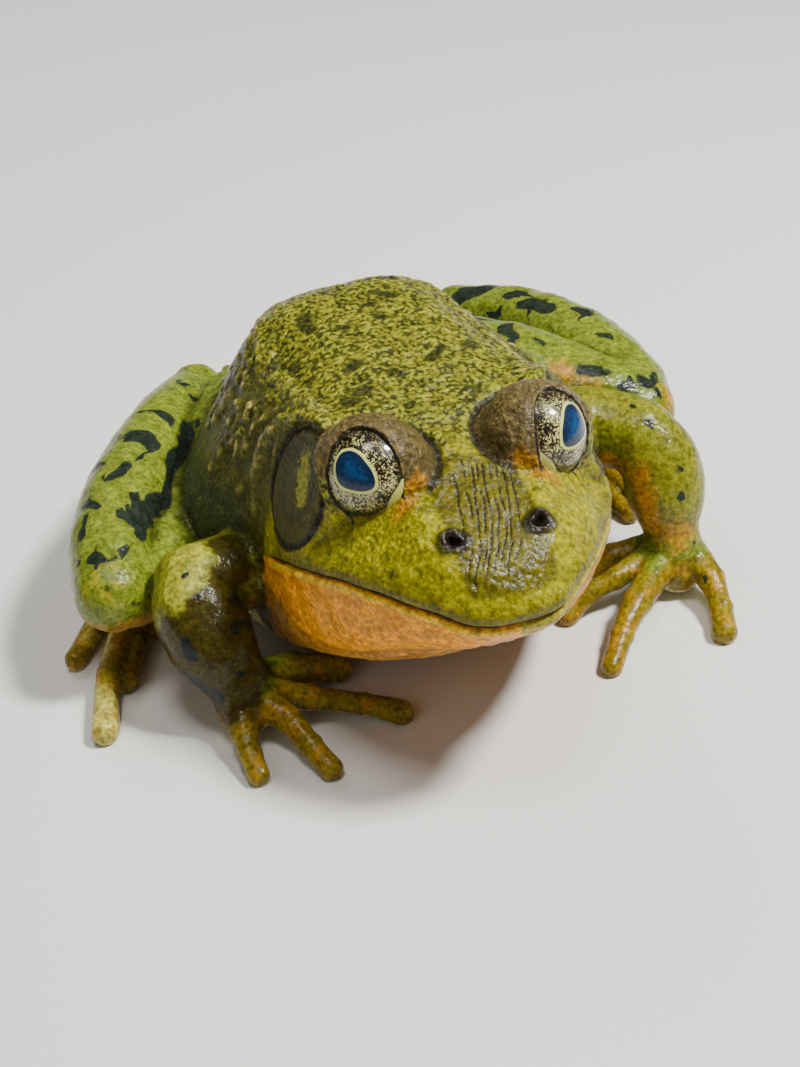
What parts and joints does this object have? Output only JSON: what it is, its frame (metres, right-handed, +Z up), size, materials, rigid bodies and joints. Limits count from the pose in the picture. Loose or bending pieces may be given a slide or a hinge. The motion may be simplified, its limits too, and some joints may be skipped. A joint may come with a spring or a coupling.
{
  "type": "green frog",
  "caption": "Adult male green frog sitting at rest, life-size still model with a yellow throat and folded hind legs.",
  "frame": {"origin": "on the floor, under the middle of the model's box", "axes": "+Z up, the frog faces -Y, +X towards its left side"},
  "size_m": [0.0866, 0.0876, 0.0404],
  "materials": {
    "olive_skin": "moist, finely granular",
    "yellow_throat": "moist, smooth",
    "leg_skin": "moist, barred",
    "finger_skin": "wet and smooth",
    "ear_skin": "satin",
    "gold_eye": "clear and wet over a gold iris"
  },
  "bodies": {
    "root": {"head": "olive_skin", "lower_jaw": "yellow_throat", "trunk": "olive_skin", "eye_left": "gold_eye", "eye_right": "gold_eye", "tympanum_left": "ear_skin", "tympanum_right": "ear_skin", "upper_arm_left": "leg_skin", "upper_arm_right": "leg_skin", "forearm_left": "leg_skin", "forearm_right": "leg_skin", "hand_left": "finger_skin", "hand_right": "finger_skin", "thigh_left": "leg_skin", "thigh_right": "leg_skin", "shank_left": "leg_skin", "shank_right": "leg_skin", "ankle_left": "leg_skin", "ankle_right": "leg_skin", "foot_left": "finger_skin", "foot_right": "finger_skin"}
  },
  "joints": []
}
